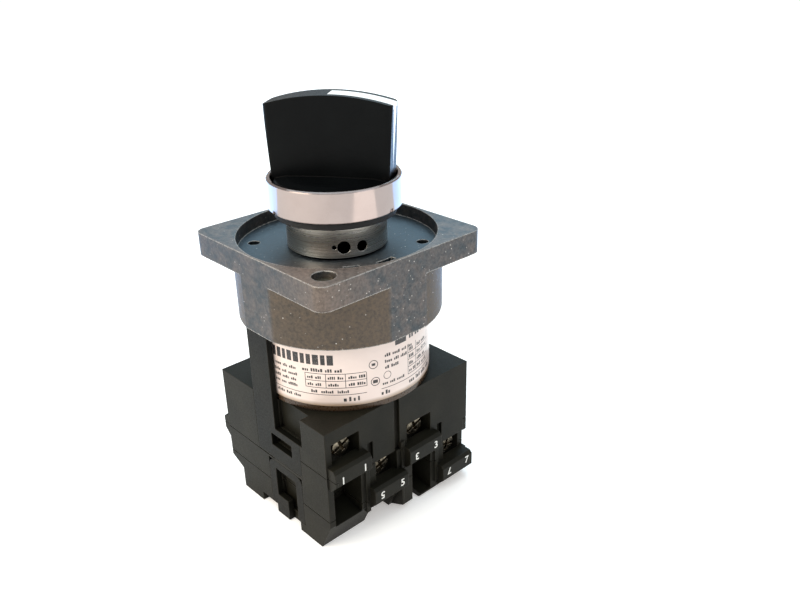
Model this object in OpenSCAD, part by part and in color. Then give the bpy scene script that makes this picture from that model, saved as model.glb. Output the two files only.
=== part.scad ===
// Rotary cam switch: bladed handle, bezel and barrel on a die-cast adaptor,
// a round detent drum and a block of four cam contacts with staggered terminals.
// Z runs along the turning axis towards the handle. The origin is the centre of the rear face.

/* [Contact block] */
// Length of the block between its terminal sides
block_l = 38.6; // [37:0.2:40]
// Width of the block between its latch sides
block_w = 43.4; // [42:0.2:44.4]
// Height of the block from its rear face to the drum
block_h = 31.6; // [31:0.2:36]
// Height of the rear cover
rear_h = 8.8; // [8.2:0.1:9.4]
// Height at which the terminal side starts to taper inwards
taper_z = 7.2; // [5:0.1:8]
// Depth of the taper at the rear face
taper_x = 3.5; // [1:0.1:4]
// Depth of the step under the other terminal side
undercut_x = 4.4; // [2:0.1:5]
// Height of that step above the rear face
undercut_z = 5.4; // [3:0.1:5.6]
// Gap that shows as a seam between two mouldings
seam_gap = 0.2; // [0.1:0.05:0.4]

/* [Terminals] */
// Distance along the axis from one contact to the next
level_pitch = 5.3; // [5.1:0.05:5.4]
// Depth of the first contact below the top of the block
level_drop = 5.8; // [5.4:0.1:6.2]
// Width of the window over a screw
window_w = 7.7; // [6.6:0.1:8]
// Height of the window over a screw
window_h = 5.2; // [4.8:0.1:5.2]
// Height of the numbered ledge below a window
ledge_h = 5.6; // [4.8:0.1:6]
// Thickness of the ledge wall behind the block's face
ledge_t = 1.3; // [1:0.1:1.6]
// How far a ledge stands proud of the block's face
ledge_out = 2.5; // [1.8:0.1:2.6]
// Bevel along the ledge's upper edge
ledge_bevel = 0.7; // [0.3:0.1:0.8]
// Bevel under the ledge
ledge_under = 1.7; // [0.5:0.1:1.7]
// Height of the wire entry below a ledge
entry_h = 7.4; // [6:0.1:8]
// Thickness of the ribs between terminal bays
rib_t = 1.1; // [0.8:0.1:1.4]
// How far a rib stands proud of the block's face
rib_out = 0.5; // [0.2:0.1:1.2]
// Width of the grooves beside the ribs
groove_w = 2.2; // [1.6:0.1:2.4]
// Depth of the grooves beside the ribs
groove_d = 0.9; // [0.5:0.1:1.1]
// Depth of a screw's head behind the block's face
head_sink = 1.5; // [0.4:0.1:1.8]
// Depth of the terminal chamber behind the block's face
chamber_d = 6.7; // [6.4:0.1:6.8]
// Thickness of a terminal plate
terminal_t = 1; // [0.8:0.1:1.2]
// Height of the metal strip that leads to a contact
strip_h = 3.2; // [2.6:0.1:3.4]
// Thickness of that strip
strip_t = 0.8; // [0.6:0.1:1]
// Radius of a terminal screw's head
screw_head_r = 2.5; // [2.1:0.05:2.55]
// Height of a terminal screw's head
screw_head_h = 1.8; // [1.4:0.1:2]
// Radius of a terminal screw's thread
screw_r = 1.75; // [1.5:0.05:1.9]

/* [Contact mechanism] */
// Radius of a cam where it lets its plunger in
cam_r = 5.2; // [5:0.1:5.4]
// Lift of a cam over the full turn of the handle
cam_lift = 2; // [1.4:0.1:2]
// Thickness of a cam's lobe
cam_t = 3.6; // [3:0.1:3.8]
// Running gap between a cam and its plunger
cam_gap = 0.3; // [0.25:0.05:0.4]
// Width of a plunger
plunger_w = 5; // [4:0.2:5.2]
// Height of a plunger
plunger_h = 3.4; // [3.2:0.1:3.6]
// Sliding gap around a plunger
guide_gap = 0.15; // [0.1:0.05:0.2]
// Thickness of a contact bridge
bridge_t = 0.8; // [0.6:0.1:0.9]
// Height of a contact bridge
bridge_h = 2.4; // [2:0.1:2.6]
// Distance of each contact tip from the middle
contact_x = 8; // [7.6:0.1:8.2]
// Radius of a contact tip
tip_r = 1.2; // [0.9:0.1:1.3]
// Height of a contact tip
tip_h = 0.5; // [0.3:0.1:0.6]
// Mean radius of a bridge spring
spring_r = 1.2; // [1:0.05:1.3]
// Radius of the spring wire
spring_wire_r = 0.2; // [0.15:0.01:0.23]
// Turns of a bridge spring
spring_turns = 3; // [2:1:3]
// Side of the square cam shaft
shaft_sq = 5; // [4.4:0.1:5.2]
// Radius of the shaft where it turns in a bearing
shaft_r = 4.4; // [4:0.1:4.6]
// Radius of the shaft's lower journal
journal_r = 2.4; // [2:0.1:2.6]
// Running gap around the shaft in its bearings
run_gap = 0.05; // [0.03:0.01:0.09]

/* [Drum and detent] */
// Gap between the drum and the latch arms
arm_gap = 0.45; // [0.3:0.05:0.6]
// Height of the drum
drum_h = 16.6; // [15.4:0.2:20]
// Wall of the drum
drum_wall = 1.6; // [1.2:0.1:2]
// Thickness of the label around the drum
label_t = 0.15; // [0.1:0.01:0.2]
// Angle at which the label starts, beside the front latch arm
label_start = -88; // [-90:1:-84]
// Angle that the label covers
label_sweep = 205; // [120:5:215]
// Height of the bare band below the label
label_low = 1.4; // [0.8:0.1:2]
// Mean radius of the detent wheel
detent_r = 8.6; // [7.6:0.1:8.8]
// Depth of a detent notch each side of the mean radius
detent_depth = 0.8; // [0.4:0.1:0.9]
// Height of the detent wheel
detent_h = 4.5; // [3.5:0.1:5]
// Radius of a detent roller
roller_r = 2.2; // [1.8:0.1:2.4]

/* [Adaptor casting] */
// Side of the square flange
plate_w = 45; // [44.4:0.2:48]
// Thickness of the flange
plate_t = 5.3; // [4.8:0.1:7]
// Corner radius of the flange
corner_r = 2.6; // [1:0.2:4]
// Least width of the rim around the recess
rim_t = 0.5; // [0.4:0.1:1]
// Depth of the round recess in the flange
recess_d = 3; // [2:0.1:3.4]
// Radius of the boss behind the flange
boss_r = 23; // [22.6:0.1:24]
// Height of the boss
boss_h = 12.3; // [10:0.1:16]
// Radius of the hollow inside the boss
boss_core_r = 18; // [15:0.2:18.6]
// Thickness of the casting's floor
floor_t = 3.6; // [3:0.1:5]
// Distance of the recess holes from the middle, along each side
floor_hole_xy = 13.2; // [12.6:0.1:13.6]
// Radius of the recess holes
floor_hole_r = 1.3; // [1:0.05:1.6]
// Distance of the clamp screws from the flange's sides
pad_hole_in = 4.5; // [4.2:0.1:4.7]
// Radius of the clamp screws
pad_screw_r = 2.4; // [2:0.05:2.45]
// Depth at which a clamp screw's end lies below the flange
pad_screw_sink = 1.3; // [0.3:0.1:2]
// Radius at which the curved slots in the recess start
arc_r = 14.9; // [14:0.1:15]
// Width of the curved slots
arc_w = 1.3; // [0.8:0.1:1.6]

/* [Head] */
// Outer radius of the barrel
barrel_r = 11; // [10.8:0.1:11.2]
// Length of barrel between the recess and the bezel
barrel_h = 9.1; // [8:0.1:12]
// Width and depth of the groove at the foot of the barrel
barrel_groove = 0.5; // [0.3:0.1:1]
// Radius of the turning spindle
spindle_r = 6; // [5:0.1:6.4]
// Outer radius of the bezel
bezel_r = 14.47; // [14.3:0.01:14.8]
// Height of the bezel
bezel_h = 6.8; // [6:0.1:8]
// Wall of the bezel
bezel_wall = 1.1; // [0.9:0.05:1.15]
// Thickness of the gasket below the bezel
gasket_t = 1.5; // [1:0.1:2]
// Distance between the gasket's edge and the bezel's
gasket_in = 1.2; // [0.8:0.1:1.6]

/* [Handle] */
// Direction in which the pointer shows at rest, from +X towards +Y
pointer_angle = 36; // [30:1:60]
// Full turn of the handle
handle_turn = 120; // [90:5:120]
// Length of the blade along its top
blade_l = 27.2; // [25:0.2:28]
// Length of the blade at the bezel
blade_foot_l = 25.4; // [24:0.2:25.6]
// Thickness of the blade
blade_t = 7; // [6:0.1:8]
// Height of the blade's middle above the bezel
blade_h = 16.7; // [14:0.1:20]
// Height of the crown of the blade over its ends
blade_crown = 2; // [1:0.1:3]
// Width of the pointer strip on the crown
pointer_w = 4; // [2:0.1:4.6]
// Width of the pointer strip on the blade's end
pointer_end_w = 2.8; // [1.4:0.1:4]
// Depth of the pointer strip
pointer_t = 0.7; // [0.5:0.1:1]
// Gap between the turning handle and the bezel
handle_gap = 0.35; // [0.3:0.05:0.4]

/* [Latches] */
// Width of a latch arm
arm_w = 7.4; // [6:0.1:8]
// Offset of a latch arm's outer edge from the middle
arm_x = 6.2; // [5.6:0.1:6.6]
// Thickness of the latch arms and clips
latch_t = 1.4; // [1:0.1:1.5]
// Lowest edge of the latch frame above the rear face
frame_z = 16; // [15.4:0.1:16.6]
// Top edge of the latch frame above the rear face
frame_top = 24.5; // [24:0.1:25.5]
// Right edge of the latch frame from the middle
frame_x = 10.2; // [9.6:0.1:10.6]
// Width of the window in the latch frame
slot_w = 7.6; // [6:0.1:8]
// Height of the window in the latch frame
slot_h = 3.2; // [2.6:0.1:3.6]
// Width of the arched rear clip
clip_w = 12.4; // [11:0.1:12.8]
// Width of a leg of the rear clip
clip_leg = 2.4; // [2:0.1:3]
// Height of the notch under the latch side
notch_h = 2.5; // [2:0.1:3]
// Depth of the dark pocket beside the latch arm
pocket_d = 2.3; // [1.8:0.1:2.4]
// Fitting gap around a latch part
latch_gap = 0.1; // [0.05:0.05:0.2]

/* [Hidden] */
$fn = 96;
small_fn = 32;
past = 1;
big = 60;

block_x = block_l / 2;
block_y = block_w / 2;
bay_w = block_w / 4;
ledge_w = bay_w - rib_t;
drum_r = block_y - latch_t - arm_gap;
pad_hole_xy = plate_w / 2 - pad_hole_in;
z_drum = block_h + drum_h;
z_plate = z_drum + boss_h;
z_top = z_plate + plate_t;
z_floor = z_top - recess_d;
z_bezel = z_floor + barrel_h;
z_rim = z_bezel + bezel_h;
recess_r = plate_w / 2 - rim_t;

// Bays run from -Y to +Y. Each entry is the contact, counted from 0, whose terminal lies there.
right_levels = [0, 2, 1, 3];
left_levels = [1, 3, 0, 2];
// Contacts that open as the handle turns; the others close
opens = [true, false, false, true];

function bay_y(bay) = (bay - 1.5) * bay_w;
function level_z(k) = block_h - level_drop - k * level_pitch;
function ledge_z(k) = level_z(k) - window_h / 2;
function contact_side(k) = k % 2 == 0 ? -1 : 1;
function bay_of(levels, k) = search(k, levels)[0];
function rest_out(k) = opens[k] ? 0 : cam_lift;

// Wall thicknesses inside the block
roof_t = 2;
wheel_room = 0.6;
cam_room_r = cam_r + cam_lift + wheel_room;
guide_t = 1.8;
guide_out = cam_room_r + guide_t;
room_x = block_x - chamber_d - 1.4;
side_wall = 3.3;
spring_wall = block_y - side_wall;
room_h = plunger_h + 1;
strip_x = room_x - strip_t - 0.2;
contact_u = guide_out + 0.7;
tip_face_u = contact_u + strip_t + tip_h;
touch_gap = 0.1;
bridge_u = tip_face_u + touch_gap + tip_h;
plunger_tip = cam_r + cam_gap;
plunger_end = bridge_u + bridge_t + 1.2;
bearing_z = 2.6;
wheel_z = block_h + 5.4;
slide_gap = 0.2;

module out_of(side) mirror([side, 0, 0]) children();

module both_ends() {
  children();
  rotate(180) children();
}

// The block before it is cut into its mouldings

module block_outline() {
  polygon([
    [-block_x, block_h], [block_x, block_h], [block_x, taper_z], [block_x - taper_x, 0],
    [undercut_x - block_x, 0], [undercut_x - block_x, undercut_z], [-block_x, undercut_z + 2]
  ]);
}

module ledge_outline() {
  inner = -ledge_t;
  polygon([
    [inner, 0], [ledge_out - ledge_bevel, 0], [ledge_out, -ledge_bevel],
    [ledge_out, ledge_under - ledge_h], [ledge_out - ledge_under, -ledge_h], [inner, -ledge_h]
  ]);
}

module ledge(k, bay) {
  translate([block_x, bay_y(bay), ledge_z(k)])
    rotate([90, 0, 0])
      linear_extrude(height = ledge_w + 0.4, center = true)
        ledge_outline();
}

module bay_body(k, bay) {
  low = ledge_z(k) - ledge_h;
  translate([room_x, bay_y(bay) - bay_w / 2, low])
    cube([block_x - room_x, bay_w, taper_z + 4 - low]);
}

rib_low = 2.6;

function rib_y(bay) = bay_y(bay) + bay_w / 2;
function upper_level(levels, bay) = min(levels[bay], levels[bay + 1]);
function rib_top(levels, bay) =
  bay == 1 ? level_z(upper_level(levels, bay)) - 1
  : ledge_z(upper_level(levels, bay)) - ledge_h + ledge_under;

module bay_rib(levels, bay) {
  deep = max(levels[bay], levels[bay + 1]);
  low = max(rib_low, ledge_z(deep) - ledge_h - rib_t);
  translate([room_x, rib_y(bay) - rib_t / 2, low])
    cube([block_x + rib_out - room_x, rib_t, rib_top(levels, bay) - low]);
}

// A notch beside the top of an outer rib, and a groove from the middle rib to the top of the block

module rib_notch(levels, bay) {
  low = rib_top(levels, bay);
  top = ledge_z(upper_level(levels, bay)) + ledge_bevel;
  translate([block_x - groove_d, rib_y(bay) + rib_t / 2, low])
    cube([groove_d + past, groove_w - rib_t / 2, top - low]);
}

module middle_groove(levels) {
  low = ledge_z(levels[1]) + window_h - seam_gap;
  translate([block_x - groove_d, rib_y(1) - groove_w, low])
    cube([groove_d + past, groove_w - rib_t / 2, block_h + past - low]);
}

// Width of the jamb that narrows the windows of the two lower contacts
deep_jamb = 1.2;

module chamber_cut(k, bay) {
  window_top = ledge_z(k) + window_h;
  ledge_low = ledge_z(k) - ledge_h;
  entry_low = ledge_low - entry_h < 2 ? -past : ledge_low - entry_h;
  inner = block_x - chamber_d;
  y0 = bay_y(bay) - window_w / 2;
  jamb = k > 1 ? deep_jamb : 0;
  translate([inner, y0, entry_low])
    cube([chamber_d - ledge_t, window_w, window_top - entry_low]);
  translate([inner, y0 + jamb, ledge_z(k)])
    cube([chamber_d + past, window_w - jamb, window_h]);
  translate([inner, y0, entry_low])
    cube([chamber_d + ledge_out + past, window_w, ledge_low - entry_low]);
}

module jamb_cut(k, bay) {
  side = bay == 0 ? -1 : 1;
  jamb_w = 2.2;
  translate([block_x - ledge_t, side * (block_y - 1) - jamb_w / 2, ledge_z(k)])
    cube([ledge_t + past, jamb_w, window_h]);
}

module terminal_side(levels) {
  for (bay = [0:3])
    if (levels[bay] > 1) bay_body(levels[bay], bay);
  for (bay = [0:2]) bay_rib(levels, bay);
}

module terminal_side_cut(levels) {
  for (bay = [0:3]) chamber_cut(levels[bay], bay);
  for (bay = [0, 3])
    if (levels[bay] > 1) jamb_cut(levels[bay], bay);
  for (bay = [0, 2]) rib_notch(levels, bay);
  middle_groove(levels);
}

// Foot of the +X side: the ramp under terminal 1, the open floor under terminal 3 and its pillar

pillar_low = 1.8;
pillar_w = 3.2;
foot_bevel = 0.7;
foot_t = 1.1;
ramp_high = 7.9;
ramp_low = 6.3;

module side_prism(y0, y1, points) {
  translate([0, y1, 0]) rotate([90, 0, 0]) linear_extrude(height = y1 - y0) polygon(points);
}

module right_foot_cut() {
  inner = block_x - chamber_d;
  entry_1 = ledge_z(0) - ledge_h - entry_h + 0.1;
  side_prism(bay_y(0) - window_w / 2, bay_y(0) + window_w / 2, [
    [inner, ramp_high], [block_x + past, ramp_low], [block_x + past, entry_1], [inner, entry_1]
  ]);
  translate([inner, bay_y(2) - window_w / 2, -past]) cube([chamber_d + past, window_w, taper_z + past]);
}

module right_foot() {
  inner = block_x - chamber_d - 0.5;
  floor_y = bay_y(2) + rib_t / 3;
  end_y = bay_y(2) + window_w / 2;
  front = block_x + rib_out;
  top = ledge_z(1) - ledge_h + 0.2;
  side_prism(-rib_t / 2, pillar_w - rib_t / 2, [
    [block_x - taper_x, 0], [front, pillar_low], [front, top], [block_x - ledge_t, top],
    [block_x - taper_x, taper_z]
  ]);
  side_prism(floor_y, end_y + 0.1, [
    [inner, 0], [block_x - foot_bevel, 0], [block_x, foot_bevel], [block_x, foot_t], [inner, 2 * foot_t]
  ]);
  side_prism(end_y, bay_y(3) - window_w / 2, [
    [inner, 0], [block_x - foot_bevel, 0], [block_x, foot_bevel], [block_x, taper_z + 1],
    [inner, taper_z + 1]
  ]);
}

module ledges(levels) {
  for (bay = [0:3]) ledge(levels[bay], bay);
}

// Rooms for the cams, plungers, bridges and strips

module contact_room(k) {
  side = contact_side(k);
  z = level_z(k);
  depth = spring_wall - guide_out;
  translate([-room_x, side > 0 ? guide_out : -spring_wall, z - room_h / 2])
    cube([2 * room_x, depth, room_h]);
  slot_w = plunger_w + 2 * guide_gap;
  slot_h = plunger_h + 2 * guide_gap;
  translate([-slot_w / 2, side > 0 ? 0 : -guide_out - past, z - slot_h / 2])
    cube([slot_w, guide_out + past, slot_h]);
}

module tie_places() {
  reach = cam_room_r * 0.97;
  for (sx = [-1, 1], sy = [-1, 1]) translate([sx * reach, sy * reach, 0]) children();
}

tie_r = 1.1;
tie_head_r = 2;

module tie_holes() {
  tie_places() {
    translate([0, 0, -past]) cylinder(r = tie_r + run_gap, h = block_h - roof_t + past);
    translate([0, 0, -past]) cylinder(r = tie_head_r + 0.2, h = 2 + past);
  }
}

module rooms() {
  low = level_z(3) - level_pitch / 2 - 0.6;
  translate([0, 0, low]) cylinder(r = cam_room_r, h = block_h - roof_t - low);
  translate([0, 0, bearing_z]) cylinder(r = journal_r + run_gap, h = low - bearing_z + past);
  translate([0, 0, block_h - roof_t - past]) cylinder(r = shaft_r + run_gap, h = roof_t + 2 * past);
  for (k = [0:3]) contact_room(k);
  for (k = [0:3]) {
    out_of(0) strip(k, bay_of(right_levels, k), latch_gap);
    out_of(1) strip(k, bay_of(left_levels, k), latch_gap);
  }
  tie_holes();
}

// Latch features of one side, drawn on the -Y face

frame_left = -arm_x;
slot_left = -0.6;
slot_z = 19.6;
pocket_left = arm_w - arm_x;
clip_left = -2.6;
clip_top = frame_z - 0.8;
foot_w = 4.6;
notch_left = -7;
notch_right = 8;
clip_rim = 2.1;

module face_box(x0, x1, z0, z1, depth, proud = 0) {
  translate([x0, -block_y - proud, z0]) cube([x1 - x0, depth + proud, z1 - z0]);
}

module latch_side_cut() {
  g = latch_gap;
  face_box(frame_left - g, pocket_left + g, frame_top - 1, block_h + past, latch_t + g, past);
  face_box(frame_left - g, frame_x + g, frame_z, frame_top + g, latch_t + g, past);
  face_box(pocket_left, frame_x + 0.9, frame_top, block_h + past, pocket_d, past);
  face_box(slot_left, slot_left + slot_w, slot_z, slot_z + slot_h, pocket_d, past);
  face_box(clip_left - g, clip_left + clip_w + g, notch_h, clip_top + g, latch_t + g, past);
  face_box(clip_left + clip_leg, clip_left + clip_w - clip_leg, notch_h, clip_top - clip_rim, pocket_d, past);
  face_box(notch_left, notch_right, -past, notch_h + 0.01, latch_t + g, past);
}

module block() {
  difference() {
    union() {
      difference() {
        union() {
          rotate([90, 0, 0])
            linear_extrude(height = block_w, center = true) block_outline();
          out_of(0) terminal_side(right_levels);
          out_of(1) terminal_side(left_levels);
        }
        out_of(0) terminal_side_cut(right_levels);
        out_of(1) terminal_side_cut(left_levels);
        right_foot_cut();
      }
      right_foot();
      out_of(0) ledges(right_levels);
      out_of(1) ledges(left_levels);
    }
    rooms();
    both_ends() latch_side_cut();
  }
}

// The stepped seams that part the block into its mouldings

seam_high = block_h - 11.1;
seam_low = seam_high - 4.7;
skin_y = block_y - 1.1;
bay_line = room_x + 1;

function bay_seam(k) = k < 2 ? ledge_z(k) - ledge_h : ledge_z(k) + window_h;

module column(levels, bay, z0, z1) {
  y0 = bay == 0 ? -skin_y : bay_y(bay) - bay_w / 2;
  y1 = bay == 3 ? skin_y : bay_y(bay) + bay_w / 2;
  translate([bay_line, y0, z0]) cube([big, y1 - y0, z1 - z0]);
}

module quadrant(sx, sy, z0, z1) {
  translate([sx > 0 ? 0 : -big, sy > 0 ? 0 : -big, z0]) cube([big, big, z1 - z0]);
}

module all_columns(z0, z1) {
  for (side = [0, 1])
    out_of(side)
      translate([bay_line, -skin_y, z0]) cube([big, 2 * skin_y, z1 - z0]);
}

module above_seam(shift) {
  difference() {
    for (sx = [-1, 1], sy = [-1, 1])
      quadrant(sx, sy, (sx * sy < 0 ? seam_high : seam_low) + shift, big);
    all_columns(-past, big + past);
  }
  for (bay = [0:3]) {
    out_of(0) column(right_levels, bay, bay_seam(right_levels[bay]) + shift, big);
    out_of(1) column(left_levels, bay, bay_seam(left_levels[bay]) + shift, big);
  }
}

module below_rear(shift) {
  difference() {
    translate([-big, -big, -past]) cube([2 * big, 2 * big, rear_h + past - shift]);
    for (bay = [0:3]) {
      out_of(0) if (right_levels[bay] > 1) column(right_levels, bay, -2 * past, big);
      out_of(1) if (left_levels[bay] > 1) column(left_levels, bay, -2 * past, big);
    }
  }
}

module upper_body() {
  color("#3c3c3a")
    intersection() {
      block();
      above_seam(seam_gap / 2);
    }
}

module lower_body() {
  color("#393937")
    intersection() {
      block();
      difference() {
        translate([-big, -big, -past / 2]) cube([2 * big, 2 * big, 2 * big]);
        above_seam(-seam_gap / 2);
        below_rear(-seam_gap / 2);
      }
    }
}

module rear_cover() {
  color("#40403a")
    intersection() {
      block();
      below_rear(seam_gap / 2);
    }
}

// Latches

module latch_arm() {
  difference() {
    union() {
      face_box(frame_left, pocket_left, frame_top - 0.5, z_drum, latch_t);
      face_box(frame_left, frame_x, frame_z + latch_gap, frame_top, latch_t);
    }
    face_box(slot_left, slot_left + slot_w, slot_z, slot_z + slot_h, latch_t + past, past);
  }
}

module rear_clip() {
  right = clip_left + clip_w;
  round_r = 2;
  difference() {
    union() {
      face_box(clip_left, right, notch_h + 0.2, clip_top - round_r, latch_t);
      face_box(clip_left + round_r, right - round_r, clip_top - round_r - 1, clip_top, latch_t);
      for (x = [clip_left + round_r, right - round_r])
        translate([x, latch_t - block_y, clip_top - round_r])
          rotate([90, 0, 0]) cylinder(r = round_r, h = latch_t, $fn = small_fn);
      face_box(-1, -1 + foot_w, 0.2, notch_h + 3, latch_t);
    }
    face_box(clip_left + clip_leg, right - clip_leg, notch_h + 3, clip_top - clip_rim, latch_t + past, past);
    face_box(foot_w - 1, right - clip_leg, 0, notch_h + 3.1, latch_t + past, past);
  }
}

module latch_arm_front() { color("#333333") latch_arm(); }
module latch_arm_back() { color("#333333") rotate(180) latch_arm(); }
module rear_clip_front() { color("#3a3a38") rear_clip(); }
module rear_clip_back() { color("#3a3a38") rotate(180) rear_clip(); }

// Terminals: a plate behind each screw and a strip to its fixed contact

lug_w = 3;

module strip(k, bay, grow) {
  y_bay = bay_y(bay);
  y_end = contact_side(k) * (contact_u + strip_t / 2);
  z0 = level_z(k) - strip_h / 2 - grow;
  h = strip_h + 2 * grow;
  y_low = min(y_bay - lug_w / 2, y_end - strip_t / 2);
  y_high = max(y_bay + lug_w / 2, y_end + strip_t / 2);
  translate([strip_x - grow, y_low - grow, z0])
    cube([strip_t + 2 * grow, y_high - y_low + 2 * grow, h]);
  translate([strip_x, y_bay - lug_w / 2 - grow, z0])
    cube([block_x - chamber_d + terminal_t / 2 - strip_x, lug_w + 2 * grow, h]);
}

module terminal(k, bay) {
  inner = block_x - chamber_d;
  plate_w = window_w - 0.6;
  side = contact_side(k);
  difference() {
    union() {
      strip(k, bay, 0);
      translate([inner, bay_y(bay) - plate_w / 2, ledge_z(k) - 1])
        cube([terminal_t, plate_w, window_h + 0.8]);
      translate([contact_x - tip_r, side > 0 ? contact_u : -contact_u - strip_t, level_z(k) - strip_h / 2])
        cube([strip_x + strip_t - contact_x + tip_r, strip_t, strip_h]);
      translate([contact_x, side * (contact_u + strip_t / 2), level_z(k)])
        rotate([-90 * side, 0, 0])
          cylinder(r = tip_r, h = strip_t / 2 + tip_h, $fn = small_fn);
    }
    translate([strip_x - 0.5, bay_y(bay), level_z(k)])
      rotate([0, 90, 0]) cylinder(r = screw_r + 0.02, h = chamber_d + 4, $fn = small_fn);
  }
}

module right_terminal(k) {
  color("#b08d57") terminal(k, bay_of(right_levels, k));
}

module left_terminal(k) {
  color("#b08d57") out_of(1) terminal(k, bay_of(left_levels, k));
}

module terminal_1() { right_terminal(0); }
module terminal_2() { left_terminal(0); }
module terminal_3() { right_terminal(1); }
module terminal_4() { left_terminal(1); }
module terminal_5() { right_terminal(2); }
module terminal_6() { left_terminal(2); }
module terminal_7() { right_terminal(3); }
module terminal_8() { left_terminal(3); }

head_out = block_x - head_sink;
clamp_t = 0.9;

module at_screws() {
  for (bay = [0:3]) {
    out_of(0) translate([0, bay_y(bay), level_z(right_levels[bay])]) children();
    out_of(1) translate([0, bay_y(bay), level_z(left_levels[bay])]) children();
  }
}

module wire_clamps() {
  clamp_x = head_out - screw_head_h - clamp_t;
  color("#b9b6ae")
    at_screws()
      difference() {
        translate([clamp_x, -(window_w - 1) / 2, -(window_h - 0.4) / 2])
          cube([clamp_t, window_w - 1, window_h - 0.4]);
        translate([clamp_x - past, 0, 0])
          rotate([0, 90, 0]) cylinder(r = screw_r + 0.05, h = 3, $fn = small_fn);
      }
}

module terminal_screws() {
  slot_w = 0.7;
  slot_d = 0.9;
  cross_w = 3;
  shank = head_out - screw_head_h - (block_x - chamber_d) - touch_gap;
  color("#c9c6bf")
    at_screws()
      difference() {
        union() {
          translate([head_out - screw_head_h, 0, 0])
            rotate([0, 90, 0]) cylinder(r = screw_head_r, h = screw_head_h, $fn = small_fn);
          translate([head_out - screw_head_h - shank, 0, 0])
            rotate([0, 90, 0]) cylinder(r = screw_r, h = shank + 0.1, $fn = small_fn);
        }
        translate([head_out - slot_d, -screw_head_r, -slot_w / 2])
          cube([2 * slot_d, 2 * screw_head_r, slot_w]);
        translate([head_out - slot_d, -slot_w / 2, -cross_w / 2]) cube([2 * slot_d, slot_w, cross_w]);
      }
}

module tie_screws() {
  head_z = 0.3;
  head_h = 1.7;
  slot_w = 0.6;
  color("#a9a9a5")
    tie_places()
      difference() {
        union() {
          translate([0, 0, head_z]) cylinder(r = tie_head_r, h = head_h, $fn = small_fn);
          translate([0, 0, 1]) cylinder(r = tie_r, h = block_h - roof_t - slot_w - 1, $fn = small_fn);
        }
        translate([-tie_head_r, -slot_w / 2, 0]) cube([2 * tie_head_r, slot_w, head_z + slot_w]);
      }
}

// Moving contacts

module pushed(k) {
  translate([0, contact_side(k) * rest_out(k), level_z(k)])
    rotate(contact_side(k) > 0 ? 0 : 180)
      children();
}

module plunger(k) {
  nose_r = plunger_w / 2;
  color("#e6e2d6")
    pushed(k)
      difference() {
        union() {
          translate([0, plunger_tip + nose_r, -plunger_h / 2])
            cylinder(r = nose_r, h = plunger_h);
          translate([-plunger_w / 2, plunger_tip + nose_r, -plunger_h / 2])
            cube([plunger_w, plunger_end - plunger_tip - nose_r, plunger_h]);
        }
        translate([-plunger_w, bridge_u, -bridge_h / 2]) cube([2 * plunger_w, bridge_t, bridge_h]);
      }
}

module bridge(k) {
  reach = contact_x + tip_r;
  color("#c98f5a")
    pushed(k) {
      translate([-reach, bridge_u, -bridge_h / 2]) cube([2 * reach, bridge_t, bridge_h]);
      for (x = [-contact_x, contact_x])
        translate([x, bridge_u - tip_h, 0])
          rotate([-90, 0, 0]) cylinder(r = tip_r, h = tip_h + bridge_t / 2, $fn = small_fn);
    }
}

// One coil spring along +Z, as a swept tube with flat turns at its ends
coil_sides = 6;
coil_steps = 14;

function coil_point(i, j, length, r, wire, turns) =
  let(a = 360 * i / coil_steps, w = 360 * j / coil_sides, rr = r + wire * cos(w))
    [rr * cos(a), rr * sin(a), wire + (length - 2 * wire) * i / (turns * coil_steps) + wire * sin(w)];

module coil(length, r, wire, turns) {
  steps = turns * coil_steps;
  points = [for (i = [0:steps], j = [0:coil_sides - 1]) coil_point(i, j, length, r, wire, turns)];
  around = [
    for (i = [0:steps - 1], j = [0:coil_sides - 1])
      let(n = (j + 1) % coil_sides, a = i * coil_sides, b = a + coil_sides)
        [a + j, b + j, b + n, a + n]
  ];
  first = [for (j = [0:coil_sides - 1]) j];
  last = [for (j = [coil_sides - 1:-1:0]) steps * coil_sides + j];
  polyhedron(points = points, faces = concat(around, [first, last]));
}

module bridge_spring(k) {
  seat = plunger_end + rest_out(k) + 0.1;
  side = contact_side(k);
  color("#b5b5b0")
    translate([0, side * seat, level_z(k)])
      rotate([-90 * side, 0, 0])
        coil(spring_wall - 0.1 - seat, spring_r, spring_wire_r, spring_turns);
}

module plunger_1() { plunger(0); }
module plunger_2() { plunger(1); }
module plunger_3() { plunger(2); }
module plunger_4() { plunger(3); }
module bridge_1() { bridge(0); }
module bridge_2() { bridge(1); }
module bridge_3() { bridge(2); }
module bridge_4() { bridge(3); }
module spring_1() { bridge_spring(0); }
module spring_2() { bridge_spring(1); }
module spring_3() { bridge_spring(2); }
module spring_4() { bridge_spring(3); }

// Cams: the radius under the plunger rises or falls evenly as the handle turns

dwell = 25;
cam_step = 4;

function turned(k, a) = ((contact_side(k) * 90 - a + dwell) % 360 + 360) % 360 - dwell;

function lift_part(p) =
  p < 0 ? 0
  : p < handle_turn ? p / handle_turn
  : p < handle_turn + dwell ? 1
  : 1 - (p - handle_turn - dwell) / (360 - handle_turn - 2 * dwell);

function cam_radius(k, a) =
  let(part = lift_part(turned(k, a)))
    cam_r + cam_lift * (opens[k] ? part : 1 - part);

module cam(k) {
  color("#d9d3c0")
    translate([0, 0, level_z(k)])
      difference() {
        union() {
          linear_extrude(height = cam_t, center = true)
            polygon([for (a = [0:cam_step:360 - cam_step]) cam_radius(k, a) * [cos(a), sin(a)]]);
          cylinder(r = cam_r - 0.6, h = level_pitch, center = true);
        }
        rotate(pointer_angle)
          cube([shaft_sq + 2 * run_gap, shaft_sq + 2 * run_gap, 2 * level_pitch], center = true);
      }
}

module cam_1() { cam(0); }
module cam_2() { cam(1); }
module cam_3() { cam(2); }
module cam_4() { cam(3); }

tang_low = z_drum + 2;
tang_h = 6;

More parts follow.
